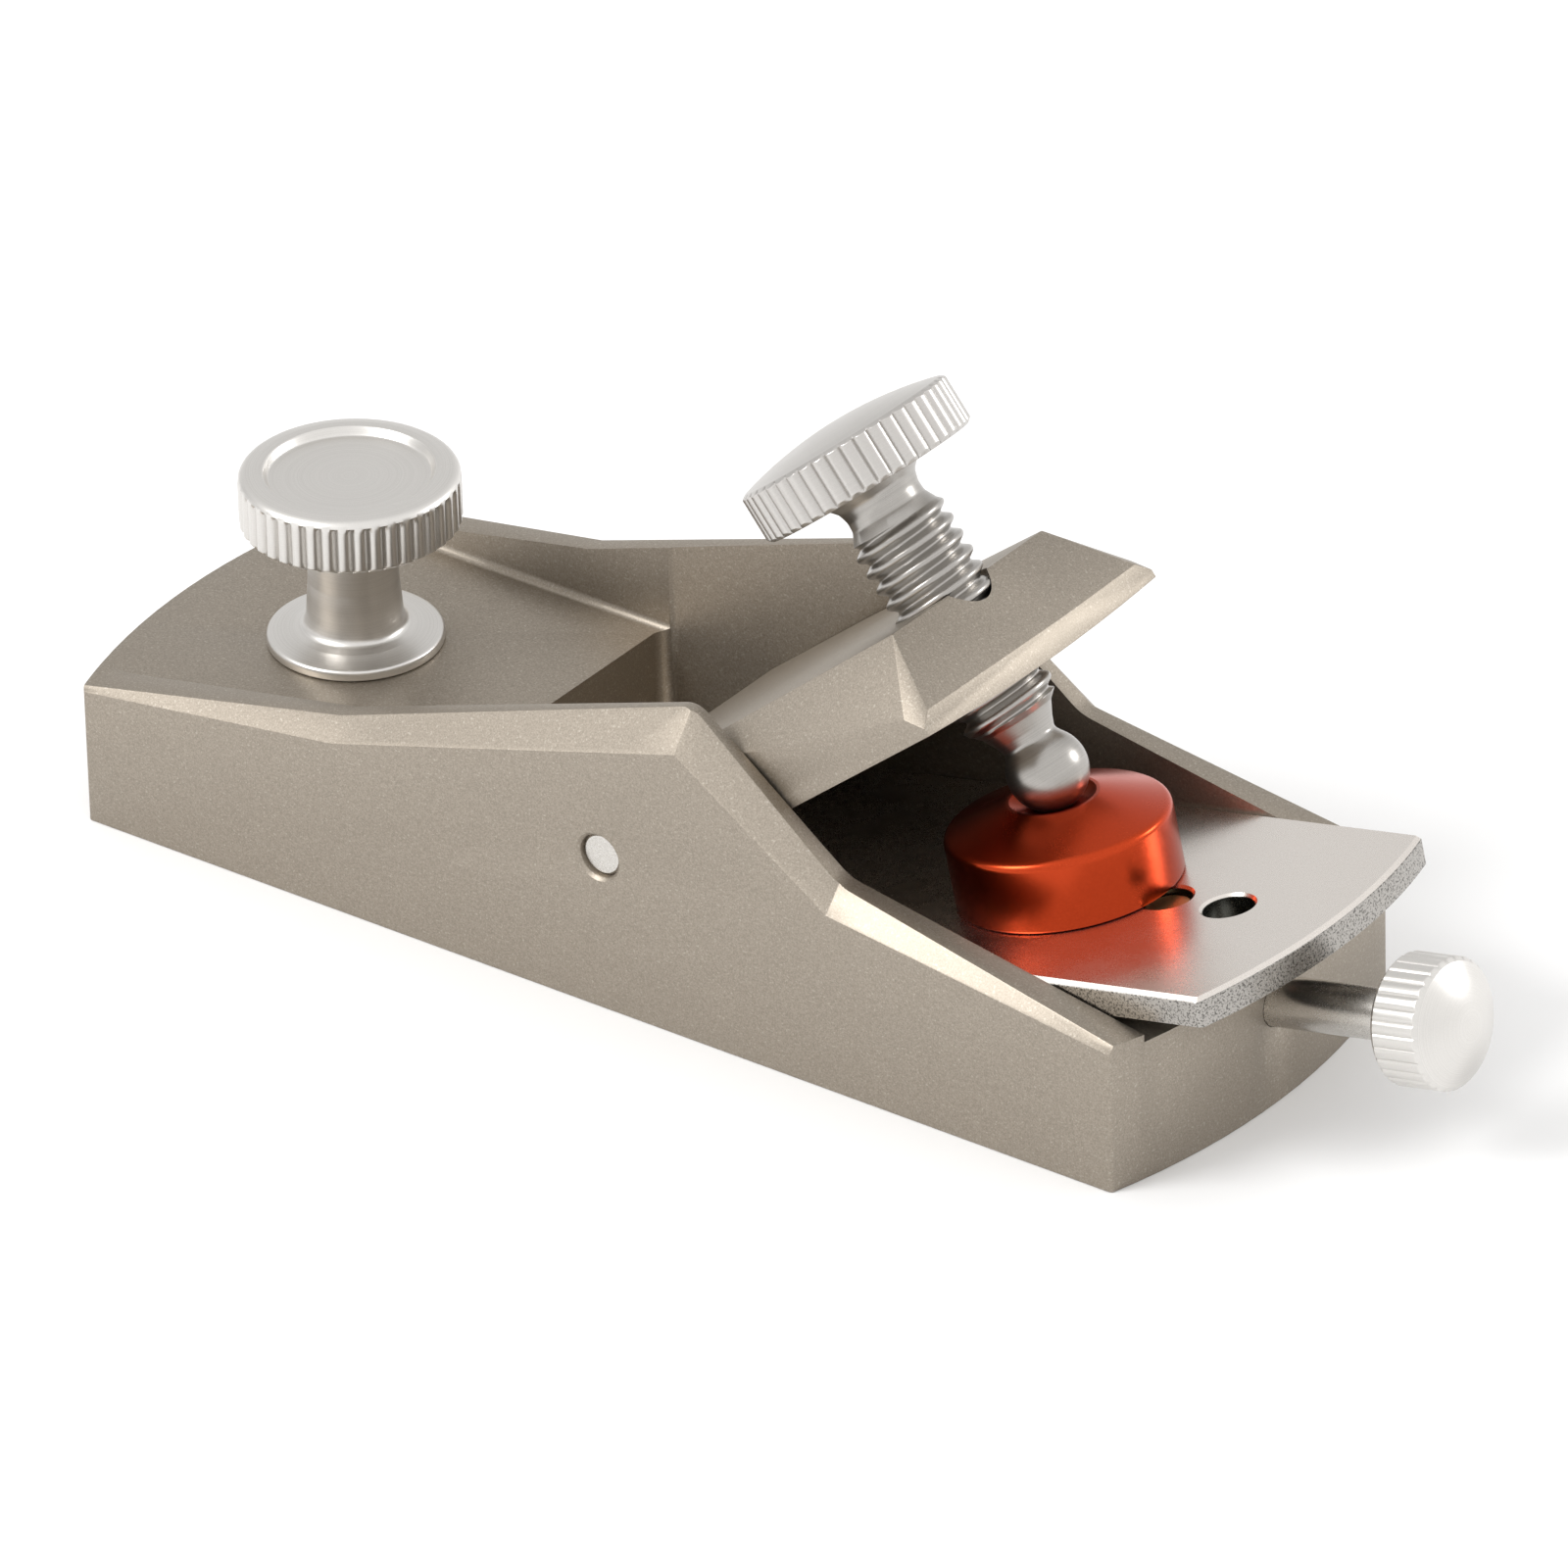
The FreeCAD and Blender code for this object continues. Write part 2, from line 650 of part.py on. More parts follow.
def makeRetainingClip():
    """Open ring in the spindle's groove, in front of the washer."""
    thickness = clipThickness - restGap
    start = -clipStart() - clipThickness + restGap / 2.0
    hub = clipGrooveDiameter / 2.0 + fixedClearance
    ring = Part.makeCylinder(clipDiameter / 2.0, thickness, vec(0, 0, start))
    hole = Part.makeCylinder(hub, thickness + 2, vec(0, 0, start - 1))
    gap = Part.makeBox(clipDiameter, clipGap, thickness + 2, vec(0, -clipGap / 2.0, start - 1))
    reliefs = [Part.makeCylinder(0.55, thickness + 2,
                                 vec(2.05 * math.cos(a), 2.05 * math.sin(a), start - 1))
               for a in (math.radians(130), math.radians(230))]
    clip = ring.cut(hole).cut(gap)
    for relief in reliefs:
        clip = clip.cut(relief)
    return onSpindle(clip, carriagePlace())


def makeAdjusterKnob():
    radius = adjusterKnobDiameter / 2.0
    edge = adjusterKnobEdge
    rim = adjusterKnobLength
    bore = spindleDiameter / 2.0 + fixedClearance
    high = rim + adjusterKnobDome
    domeRadius = arcRadius(radius - edge, adjusterKnobDome)
    middleAngle = math.asin((radius - edge) / domeRadius) / 2.0
    middle = (domeRadius * math.sin(middleAngle),
              high - domeRadius * (1.0 - math.cos(middleAngle)))
    depth = spindleInKnob + fixedClearance
    edges = [
        line((bore, 0), (radius - edge, 0)), line((radius - edge, 0), (radius, edge)),
        line((radius, edge), (radius, rim - edge)), line((radius, rim - edge), (radius - edge, rim)),
        arc((radius - edge, rim), middle, (0, high)), line((0, high), (0, depth)),
        line((0, depth), (bore, depth)), line((bore, depth), (bore, 0)),
    ]
    return onSpindle(turnedEdges(edges), knobFrontSetback)


def frontKnobPlace():
    return vec(toeX - frontKnobSetback, 0, deckHeight)


def makeFrontKnob():
    """Turned finger knob: flared foot, slim stem and a fluted head with a dish."""
    head = frontHeadDiameter / 2.0
    rim = frontRimDiameter / 2.0
    dish = dishDiameter / 2.0
    foot = flangeDiameter / 2.0
    flat = flangeFlatDiameter / 2.0
    stemFoot = stemFootDiameter / 2.0
    stem = stemTopDiameter / 2.0
    bore = studDiameter / 2.0 + fixedClearance
    depth = studLength - studInBody + studEndGap
    floor = frontKnobHeight - dishDepth
    lip = (rim + dish) / 2.0
    points = [
        (bore, 0), (foot, 0), (foot, flangeEdge), (flat, flangeTopHeight),
        (stemFoot + 0.6, flangeTopHeight + 0.4), (stemFoot, stemFootHeight),
        (stem, (stemFootHeight + frontHeadBottom) / 2.0), (stem, frontHeadBottom),
        (head - 0.5, frontHeadBottom), (head, frontHeadBottom + 0.5), (head, frontBandTop),
        (rim, frontKnobHeight - 0.15), (lip, frontKnobHeight), (dish + 0.2, floor + 0.4),
        (dish - 0.5, floor), (0, floor), (0, depth), (bore, depth),
    ]
    knob = turned(points)
    knob.translate(frontKnobPlace())
    return knob


def makeKnobStud():
    radius = studDiameter / 2.0
    points = [(0, 0), (radius - 0.4, 0), (radius, 0.4), (radius, studLength - 0.4),
              (radius - 0.4, studLength), (0, studLength)]
    stud = turned(points)
    stud.translate(frontKnobPlace() - vec(0, 0, studInBody))
    return stud


pieces = {
    "body": makeBody,
    "cross_pin": makeCrossPin,
    "blade": makeBlade,
    "lever_cap": makeLeverCap,
    "clamp_screw": makeClampScrew,
    "pressure_pad": makePressurePad,
    "adjuster_carriage": makeCarriage,
    "drive_pin": makeDrivePin,
    "adjuster_spindle": makeSpindle,
    "thrust_washer": makeThrustWasher,
    "retaining_clip": makeRetainingClip,
    "adjuster_knob": makeAdjusterKnob,
    "front_knob": makeFrontKnob,
    "knob_stud": makeKnobStud,
}

os.makedirs("parts", exist_ok=True)
for node, make in pieces.items():
    shape = make()
    shape.exportStep("parts/" + node + ".step")
    print(node, "valid" if shape.isValid() else "NOT VALID", len(shape.Solids), "solid",
          round(shape.Volume, 2), "mm3")
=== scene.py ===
import json
import math

import bmesh
import bpy
from mathutils import Matrix, Vector


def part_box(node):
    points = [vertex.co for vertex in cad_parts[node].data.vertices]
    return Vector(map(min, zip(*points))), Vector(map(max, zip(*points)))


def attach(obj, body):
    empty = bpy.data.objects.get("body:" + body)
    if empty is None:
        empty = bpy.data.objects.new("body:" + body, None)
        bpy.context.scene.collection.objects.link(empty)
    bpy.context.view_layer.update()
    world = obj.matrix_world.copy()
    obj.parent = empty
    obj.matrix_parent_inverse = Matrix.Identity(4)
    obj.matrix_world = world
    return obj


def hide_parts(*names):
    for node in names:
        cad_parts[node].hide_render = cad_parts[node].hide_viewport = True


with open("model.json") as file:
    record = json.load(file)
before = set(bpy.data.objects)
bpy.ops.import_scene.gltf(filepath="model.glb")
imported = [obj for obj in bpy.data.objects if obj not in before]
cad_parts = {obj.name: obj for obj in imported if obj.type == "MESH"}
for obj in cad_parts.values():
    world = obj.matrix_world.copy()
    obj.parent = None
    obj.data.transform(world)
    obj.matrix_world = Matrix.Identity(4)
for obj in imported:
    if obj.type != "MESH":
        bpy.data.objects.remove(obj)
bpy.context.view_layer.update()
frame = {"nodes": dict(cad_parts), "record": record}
mm = 0.001
nodes = frame["nodes"]
joints = {j["name"]: j for j in frame["record"]["behaviour"]["joints"]}
print("frame loaded:", len(nodes), "pieces")


class Wire:
    # a node socket that takes part in ordinary Python sums, in shader and geometry trees
    def __init__(self, tree, socket=None):
        self.tree = tree
        self.socket = socket

    def node(self, kind, settings=None, sockets=None, out=0):
        made = self.tree.nodes.new(kind)
        for name, value in (settings or {}).items():
            setattr(made, name, value)
        for name, value in (sockets or {}).items():
            if isinstance(value, Wire):
                self.tree.links.new(value.socket, made.inputs[name])
            else:
                made.inputs[name].default_value = value
        return Wire(self.tree, made.outputs[out] if made.outputs else None)

    def sum(self, operation, *values):
        return self.node("ShaderNodeMath", {"operation": operation}, dict(enumerate(values)))

    def __add__(self, other):
        return self.sum("ADD", self, other)

    def __sub__(self, other):
        return self.sum("SUBTRACT", self, other)

    def __rsub__(self, other):
        return self.sum("SUBTRACT", other, self)

    def __mul__(self, other):
        return self.sum("MULTIPLY", self, other)

    def __truediv__(self, other):
        return self.sum("DIVIDE", self, other)

    def __pow__(self, other):
        return self.sum("POWER", self, other)

    def __gt__(self, other):
        return self.sum("GREATER_THAN", self, other)

    def __lt__(self, other):
        return self.sum("LESS_THAN", self, other)


def newMaterial(name):
    material = bpy.data.materials.new(name)
    material.use_nodes = True
    material.node_tree.nodes.clear()
    return material, Wire(material.node_tree)


def finishMaterial(start, shader):
    start.node("ShaderNodeOutputMaterial", {}, {"Surface": shader})


def colour(rgb):
    return (rgb[0], rgb[1], rgb[2], 1.0)


def mixColour(start, share, first, second):
    # sockets 6 and 7 in, and 2 out, are this node's colour ones
    made = start.tree.nodes.new("ShaderNodeMix")
    made.data_type = "RGBA"
    for index, value in ((0, share), (6, first), (7, second)):
        if isinstance(value, Wire):
            start.tree.links.new(value.socket, made.inputs[index])
        else:
            made.inputs[index].default_value = value
    return Wire(start.tree, made.outputs[2])


def noise(start, place, size, detail=2.0, roughness=0.5):
    # size is the width of one grain in metres
    return start.node("ShaderNodeTexNoise", {"noise_dimensions": "3D"},
                      {"Vector": place, "Scale": 1.0 / size, "Detail": detail,
                       "Roughness": roughness})


def ramp(start, value, low, high):
    return start.node("ShaderNodeMapRange", {"clamp": True},
                      {"Value": value, "From Min": low, "From Max": high})


def metalShader(start, tone, roughness, relief, values):
    bump = start.node("ShaderNodeBump", {}, {
        "Strength": values["bump"], "Distance": values["bumpDepth"], "Height": relief})
    return start.node("ShaderNodeBsdfPrincipled", {}, {
        "Base Color": tone, "Metallic": 1.0, "Roughness": roughness, "Normal": bump})


def polishedRoughness(grain, smudge, values):
    # swings about the named roughness
    middle = (values["grainSwing"] + values["smudgeSwing"]) / 2.0
    return (grain * values["grainSwing"] + smudge * values["smudgeSwing"]
            + (values["roughness"] - middle))


blasted = {
    "base": (0.412, 0.364, 0.306),
    "light": (0.60, 0.55, 0.475),
    "dark": (0.283, 0.249, 0.206),
    "grain": 0.00016,
    "grainRange": (0.33, 0.67),
    "specksPerGrain": 1.6,
    "speckRange": (0.60, 0.78),
    "speckShare": 0.55,
    "cloud": 0.006,
    "cloudRange": (0.3, 0.7),
    "cloudShare": 0.10,
    "roughness": 0.46,
    "grainSwing": 0.16,
    "cloudSwing": 0.03,
    "bump": 0.20,
    "bumpDepth": 0.00003,
}


def blastedMetal(name, values):
    material, start = newMaterial(name)
    place = start.node("ShaderNodeTexCoord", out=3)
    grain = noise(start, place, values["grain"], 3.0, 0.62)
    speck = ramp(start, noise(start, place, values["grain"] * values["specksPerGrain"], 1.0),
                 *values["speckRange"])
    cloud = noise(start, place, values["cloud"], 3.0)
    tone = mixColour(start, ramp(start, grain, *values["grainRange"]), colour(values["dark"]),
                     colour(values["base"]))
    tone = mixColour(start, speck * values["speckShare"], tone, colour(values["light"]))
    clouded = ramp(start, cloud, *values["cloudRange"]) * values["cloudShare"]
    tone = mixColour(start, clouded, tone, colour(values["dark"]))
    roughness = (grain * values["grainSwing"] + (values["roughness"] - values["grainSwing"] / 2.0)
                 + cloud * values["cloudSwing"])
    finishMaterial(start, metalShader(start, tone, roughness, grain, values))
    return material


turnedSteel = {
    "base": (0.74, 0.722, 0.695),
    "dark": (0.62, 0.602, 0.575),
    "ring": 0.00007,
    "ringShare": 0.7,
    "grain": 0.00012,
    "toneRange": (0.3, 0.7),
    "smudge": 0.0035,
    "roughness": 0.35,
    "grainSwing": 0.08,
    "smudgeSwing": 0.10,
    "bump": 0.07,
    "bumpDepth": 0.00002,
    "ringRelief": 0.6,
}


def turnedMetal(name, values):
    # rings follow the lathe: the attribute holds radius and height
    material, start = newMaterial(name)
    place = start.node("ShaderNodeAttribute", {"attribute_name": "turned"}, out=1)
    spot = start.node("ShaderNodeTexCoord", out=3)
    ring = noise(start, place, values["ring"], 2.0, 0.6)
    smudge = noise(start, spot, values["smudge"], 3.0)
    grain = noise(start, spot, values["grain"], 2.0, 0.6)
    mixed = ring * values["ringShare"] + grain * (1.0 - values["ringShare"])
    tone = mixColour(start, ramp(start, mixed, *values["toneRange"]), colour(values["dark"]),
                     colour(values["base"]))
    relief = ring * values["ringRelief"] + grain * (1.0 - values["ringRelief"])
    roughness = polishedRoughness(ring, smudge, values)
    finishMaterial(start, metalShader(start, tone, roughness, relief, values))
    return material


groundSteel = {
    "base": (0.66, 0.635, 0.60),
    "dark": (0.54, 0.515, 0.48),
    "grain": 0.00013,
    "toneRange": (0.3, 0.7),
    "smudge": 0.005,
    "roughness": 0.26,
    "grainSwing": 0.08,
    "smudgeSwing": 0.10,
    "bump": 0.08,
    "bumpDepth": 0.00002,
}

bladeMarksAndHoleShade = {
    "origin": (0.018, 0.0, 0.0),
    "angle": 12.0,
    "setbacks": (0.0717, 0.0790),
    "radius": 0.00254,
    # painted shade: near black for the walls round both hole axes
    "dark": (0.10, 0.10, 0.088),
    "topFace": 0.00262,
    "bevelEnd": 0.008,
    "edge": (0.42, 0.40, 0.375),
    "speck": (0.13, 0.125, 0.115),
    "speckSize": 0.00022,
    "speckRange": (0.50, 0.62),
}


def bladeDetailAndHoleShade(start, place, tone, values):
    # specked edges below the top face and behind the bevel, and painted shade on the walls round
    # both hole axes
    angle = math.radians(values["angle"])
    offset = start.node("ShaderNodeVectorMath", {"operation": "SUBTRACT"},
                        {0: place, 1: values["origin"]})
    back = start.node("ShaderNodeVectorMath", {"operation": "DOT_PRODUCT"},
                      {0: offset, 1: (-math.cos(angle), 0.0, math.sin(angle))}, out=1)
    side = start.node("ShaderNodeSeparateXYZ", {}, {0: offset}, out=1)
    height = start.node("ShaderNodeVectorMath", {"operation": "DOT_PRODUCT"},
                        {0: offset, 1: (math.sin(angle), 0.0, math.cos(angle))}, out=1)
    speck = ramp(start, noise(start, place, values["speckSize"], 2.0, 0.6),
                 *values["speckRange"])
    edge = mixColour(start, speck, colour(values["edge"]), colour(values["speck"]))
    edge = mixColour(start, back < values["bevelEnd"], edge, tone)
    tone = mixColour(start, height < values["topFace"], tone, edge)
    # painted shade: the hole walls round both axes are turned near black
    for setback in values["setbacks"]:
        along = back - setback
        inside = (along * along + side * side) < values["radius"] ** 2
        tone = mixColour(start, inside, tone, colour(values["dark"]))
    return tone


def groundMetal(name, values, marksAndHoleShade=None):
    material, start = newMaterial(name)
    place = start.node("ShaderNodeTexCoord", out=3)
    grain = noise(start, place, values["grain"], 2.0, 0.6)
    smudge = noise(start, place, values["smudge"], 3.0)
    tone = mixColour(start, ramp(start, grain, *values["toneRange"]), colour(values["dark"]),
                     colour(values["base"]))
    if marksAndHoleShade:
        tone = bladeDetailAndHoleShade(start, place, tone, marksAndHoleShade)
    roughness = polishedRoughness(grain, smudge, values)
    finishMaterial(start, metalShader(start, tone, roughness, grain, values))
    return material


darkSteel = dict(groundSteel, base=(0.20, 0.20, 0.21), dark=(0.13, 0.13, 0.14), roughness=0.38)
warmBrass = dict(groundSteel, base=(0.78, 0.55, 0.27), dark=(0.62, 0.42, 0.18), roughness=0.34)
groundBlade = dict(groundSteel, base=(0.77, 0.725, 0.68), dark=(0.69, 0.645, 0.60),
                   roughness=0.27, bump=0.04)
redAnodised = dict(groundSteel, base=(0.53, 0.060, 0.018), dark=(0.45, 0.046, 0.013),
                   roughness=0.25, bump=0.04)

# a darker copy of the turned steel for the screw's shank: painted shade standing in for the shade
# in the thread's grooves
shankSteelWithThreadShade = dict(turnedSteel, base=(0.47, 0.45, 0.425), dark=(0.34, 0.325, 0.305),
                  roughness=0.30)
clampHead = dict(turnedSteel, base=(0.62, 0.60, 0.575), dark=(0.48, 0.462, 0.44))
brushedEnd = dict(turnedSteel, ring=0.00005, bump=0.45, roughness=0.33)

blastedGrey = blastedMetal("blastedGrey", blasted)
satinSteel = turnedMetal("satinTurnedSteel", turnedSteel)
brushedSteel = turnedMetal("brushedTurnedSteel", brushedEnd)
threadShadedShankSteel = turnedMetal("darkTurnedSteel", shankSteelWithThreadShade)
headSteel = turnedMetal("clampHeadSteel", clampHead)
plainSteel = groundMetal("satinPlainSteel", dict(groundSteel, base=(0.72, 0.70, 0.67)))
# the blade's ground steel, with painted shade on its hole walls
bladeSteelHoleShade = groundMetal("groundBladeSteel", groundBlade, bladeMarksAndHoleShade)
springSteel = groundMetal("darkSpringSteel", darkSteel)
carriageBrass = groundMetal("carriageBrass", warmBrass)
padRed = groundMetal("redAnodisedPad", redAnodised)
print("materials made")


onAxis = 1e-5
cornerShare = 0.49


def roundedProfile(points, steps=4):
    # points are (radius, height) or (radius, height, corner radius), in mm; a corner takes at
    # most cornerShare of each side
    out = []
    for i, point in enumerate(points):
        corner = point[2] if len(point) > 2 else 0.0
        here = Vector(point[:2])
        if corner <= 0.0 or i in (0, len(points) - 1):
            out.append(here)
            continue
        back = Vector(points[i - 1][:2]) - here
        ahead = Vector(points[i + 1][:2]) - here
        half = back.angle(ahead) / 2.0
        reach = min(corner / math.tan(half), cornerShare * back.length,
                    cornerShare * ahead.length)
        first = here + back.normalized() * reach
        last = here + ahead.normalized() * reach
        for step in range(steps + 1):
            t = step / steps
            out.append(first * (1 - t) ** 2 + here * 2 * t * (1 - t) + last * t * t)
    return out


def refined(profile, low, high, spacing):
    # extra rows where a flute or a thread is cut
    slack = 0.01
    out = [profile[0]]
    for a, b in zip(profile, profile[1:]):
        inside = min(a.y, b.y) >= low - slack and max(a.y, b.y) <= high + slack
        count = max(1, math.ceil((b - a).length / spacing)) if inside else 1
        out += [a.lerp(b, (k + 1) / count) for k in range(count)]
    return out


def ballPoints(radius, last, steps):
    # a ball's outline from its foot up to the last angle, in degrees above its middle
    out = [(0.0, -radius)]
    for step in range(1, steps + 1):
        angle = math.radians(-90.0 + (last + 90.0) * step / steps)
        out.append((radius * math.cos(angle), radius * math.sin(angle)))
    return out


def latheMesh(name, profile, columns):
    # the profile runs from axis to axis
    shape = bmesh.new()
    rows = []
    for point in profile:
        r, z = point.x * mm, point.y * mm
        if point.x < onAxis:
            rows.append([shape.verts.new((0, 0, z))])
        else:
            rows.append([shape.verts.new((r * math.cos(a), r * math.sin(a), z))
                         for a in (2 * math.pi * k / columns for k in range(columns))])
    for low, high in zip(rows, rows[1:]):
        for k in range(columns):
            n = (k + 1) % columns
            ring = [low[k % len(low)], low[n % len(low)], high[n % len(high)], high[k % len(high)]]
            corners = []
            for corner in ring:
                if corner not in corners:
                    corners.append(corner)
            shape.faces.new(corners)
    bmesh.ops.recalc_face_normals(shape, faces=shape.faces)
    mesh = bpy.data.meshes.new(name)
    shape.to_mesh(mesh)
    shape.free()
    turned = mesh.attributes.new("turned", "FLOAT_VECTOR", "POINT")
    for vertex, value in zip(mesh.vertices, turned.data):
        value.vector = (math.hypot(vertex.co.x, vertex.co.y), vertex.co.z, 0.0)
    return mesh


def newObject(name, mesh):
    made = bpy.data.objects.new(name, mesh)
    bpy.context.scene.collection.objects.link(made)
    return made


def keepResult(made, modifier):
    # the modifier's result becomes the mesh
    bpy.context.view_layer.update()
    seen = bpy.context.evaluated_depsgraph_get()
    mesh = bpy.data.meshes.new_from_object(made.evaluated_get(seen))
    made.modifiers.remove(modifier)
    old = made.data
    made.data = mesh
    bpy.data.meshes.remove(old)


def smoothed(made, angle):
    made.data.shade_smooth()
    made.data.set_sharp_from_angle(angle=math.radians(angle))


# keeps the division safe for a point on the axis, in metres
smallestRadius = 1e-7


def cutterTree(name, sizes, radiusRule):
    # geometry nodes: no point may stand further out than the cutter's radius
    tree = bpy.data.node_groups.new(name, "GeometryNodeTree")
    tree.interface.new_socket(name="Geometry", in_out="INPUT", socket_type="NodeSocketGeometry")
    for size in sizes:
        tree.interface.new_socket(name=size, in_out="INPUT", socket_type="NodeSocketFloat")
    tree.interface.new_socket(name="Finish", in_out="INPUT", socket_type="NodeSocketMaterial")
    tree.interface.new_socket(name="Geometry", in_out="OUTPUT", socket_type="NodeSocketGeometry")
    start = Wire(tree)
    group = tree.nodes.new("NodeGroupInput")
    given = {s.name: Wire(tree, s) for s in group.outputs if s.name}
    position = start.node("GeometryNodeInputPosition")
    parts = start.node("ShaderNodeSeparateXYZ", {}, {0: position})
    x, y, z = [Wire(tree, s) for s in parts.socket.node.outputs]
    radius = (x * x + y * y) ** 0.5
    turn = start.sum("ARCTAN2", y, x) / (2 * math.pi) + 0.5
    limit = radiusRule(start, given, turn, z)
    inBand = (z > given["Low"]) * (z < given["High"])
    cut = start.sum("MINIMUM", radius, limit)
    wanted = radius + (cut - radius) * inBand
    scale = wanted / start.sum("MAXIMUM", radius, smallestRadius)
    moved = start.node("ShaderNodeCombineXYZ", {}, {"X": x * scale, "Y": y * scale, "Z": z})
    placed = start.node("GeometryNodeSetPosition", {},
                        {"Geometry": given["Geometry"], "Position": moved})
    real = start.node("GeometryNodeRealizeInstances", {}, {"Geometry": placed})
    coated = start.node("GeometryNodeSetMaterial", {},
                        {"Geometry": real, "Material": given["Finish"]})
    start.node("NodeGroupOutput", {}, {"Geometry": coated})
    return tree


# where a thread's flank starts and ends, from the crest's middle to the root's
threadCrest = 0.12
threadRoot = 0.98


def fluteRule(start, given, turn, z):
    # 0 on a rib's crest and 1 at the bottom of a gap
    across = start.sum("ABSOLUTE", start.sum("FRACT", turn * given["Count"]) * 2.0 - 1.0)
    return given["Radius"] - given["Depth"] * across ** given["Squareness"]


def threadRule(start, given, turn, z):
    # right-hand: the crest climbs as it turns
    climb = start.sum("FRACT", z / given["Pitch"] - turn)
    across = start.sum("ABSOLUTE", climb * 2.0 - 1.0)
    flank = start.node("ShaderNodeMapRange", {"clamp": True, "interpolation_type": "SMOOTHSTEP"},
                       {"Value": across, "From Min": threadCrest, "From Max": threadRoot})
    return given["Radius"] - given["Depth"] * flank


fluteCutter = cutterTree("fluteCutter", ("Low", "High", "Radius", "Depth", "Count", "Squareness"),
                         fluteRule)
threadCutter = cutterTree("threadCutter", ("Low", "High", "Radius", "Depth", "Pitch"), threadRule)


def fluteInputs(v):
    # the cutter works in metres
    return {"Low": v["ribLow"] * mm, "High": v["ribHigh"] * mm, "Radius": v["head"] * mm,
            "Depth": v["ribDepth"] * mm, "Count": float(v["ribs"]),
            "Squareness": v["ribSquareness"]}


def cutWith(made, tree, values, material):
    modifier = made.modifiers.new(tree.name, "NODES")
    modifier.node_group = tree
    for item in tree.interface.items_tree:
        if item.in_out == "INPUT" and item.name in values:
            modifier[item.identifier] = values[item.name]
        elif item.in_out == "INPUT" and item.name == "Finish":
            modifier[item.identifier] = material
    keepResult(made, modifier)


def axesMatrix(origin, zAxis, xAxis):
    z = Vector(zAxis).normalized()
    x = (Vector(xAxis) - z * Vector(xAxis).dot(z)).normalized()
    y = z.cross(x)
    turn = Matrix((x, y, z)).transposed().to_4x4()
    return Matrix.Translation(Vector(origin)) @ turn


def turnedPiece(name, profile, columns, matrix, cuts, material, smoothAngle=32.0):
    mesh = latheMesh(name, profile, columns)
    mesh.materials.append(material)
    made = newObject(name, mesh)
    for tree, values in cuts:
        cutWith(made, tree, values, material)
    made.data.transform(matrix)
    made.data.name = name
    smoothed(made, smoothAngle)
    return made


# profile points are (radius, height, corner radius), in mm
frontKnob = {
    "ribs": 42,
    "columnsPerRib": 10,
    "ribLow": 12.2,
    "ribHigh": 17.9,
    "ribDepth": 0.66,
    "ribSquareness": 2.4,
    "rowSpacing": 0.45,
    "flange": ((8.7, 0.0, 0.3), (8.7, 1.1, 0.5), (6.2, 1.55, 1.2)),
    "stem": ((4.95, 1.95, 1.2), (4.75, 3.2, 1.6), (4.45, 7.0, 3.0), (4.45, 12.2, 0.5),
             (5.05, 12.9, 0.4)),
    "head": 10.85,
    "headLow": 12.9,
    "footInset": 0.75,
    "footRise": 0.55,
    "shoulder": 1.3,
    "shoulderDrop": 0.35,
    "crest": 9.0,
    "crestOut": 0.2,
    "crestIn": 0.6,
    "crestFall": 0.05,
    "top": 18.9,
    "dishFloor": 7.75,
    "dishWall": 0.15,
    "dishDepth": 0.85,
    "plainTop": 0.7,
}


def makeFrontKnob(v):
    low, high = [Vector(corner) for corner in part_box("front_knob")]
    centre = (low + high) / 2.0
    origin = (centre.x, centre.y, low.z)
    floor = v["top"] - v["dishDepth"]
    points = [(0.0, 0.0), *v["flange"], *v["stem"],
              (v["head"] - v["footInset"], v["headLow"], 0.15),
              (v["head"], v["headLow"] + v["footRise"], 0.25),
              (v["head"], v["top"] - v["shoulderDrop"], v["shoulder"]),
              (v["crest"] + v["crestOut"], v["top"], 0.9),
              (v["crest"] - v["crestIn"], v["top"] - v["crestFall"], 0.35),
              (v["dishFloor"] + v["dishWall"], floor, 0.3), (0.0, floor)]
    profile = refined(roundedProfile(points), v["headLow"], v["top"] - v["plainTop"],
                      v["rowSpacing"])
    made = turnedPiece("turnedFrontKnob", profile, v["ribs"] * v["columnsPerRib"],
                       axesMatrix(origin, (0, 0, 1), (1, 0, 0)),
                       [(fluteCutter, fluteInputs(v))], satinSteel)
    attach(made, "body")
    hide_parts("front_knob")


clampScrew = {
    "ribs": 44,
    "columnsPerRib": 10,
    "ribLow": 31.7,
    "ribHigh": 38.4,
    "ribDepth": 0.36,
    "ribSquareness": 2.6,
    "rowSpacing": 0.5,
    "shankColumns": 96,
    "threadSpacing": 0.12,
    "threadRows": (5.3, 27.5),
    "shankSmooth": 50.0,
    "thread": {"Low": 5.2 * mm, "High": 28.2 * mm, "Radius": 5.0 * mm, "Depth": 0.78 * mm,
               "Pitch": 1.75 * mm},
    "ball": 4.0,
    "ballSteps": 26,
    "neckAngle": 40.0,
    "neck": ((2.7, 3.2, 0.6), (3.1, 4.2, 1.2), (3.8, 5.55, 1.0)),
    "threadStart": ((4.75, 6.45, 0.3), (5.0, 6.9, 0.1)),
    "threadEnd": ((5.0, 27.0, 0.1), (4.6, 27.4, 0.3)),
    "collar": ((3.95, 28.6, 1.0), (3.9, 29.6, 1.5), (4.2, 30.7, 1.2), (5.3, 31.9, 0.3),
               (5.3, 32.6), (0.0, 32.6)),
    "head": 11.2,
    "headLow": 31.8,
    "footInset": 0.45,
    "footRise": 0.4,
    "rim": 5.2,
    "rimDrop": 0.35,
    "rimInset": 0.55,
    "rowsPastRim": 0.25,
    "domeInset": 0.5,
    "dome": 1.5,
    "domeStep": 1.2,
    "domeRings": 8,
}


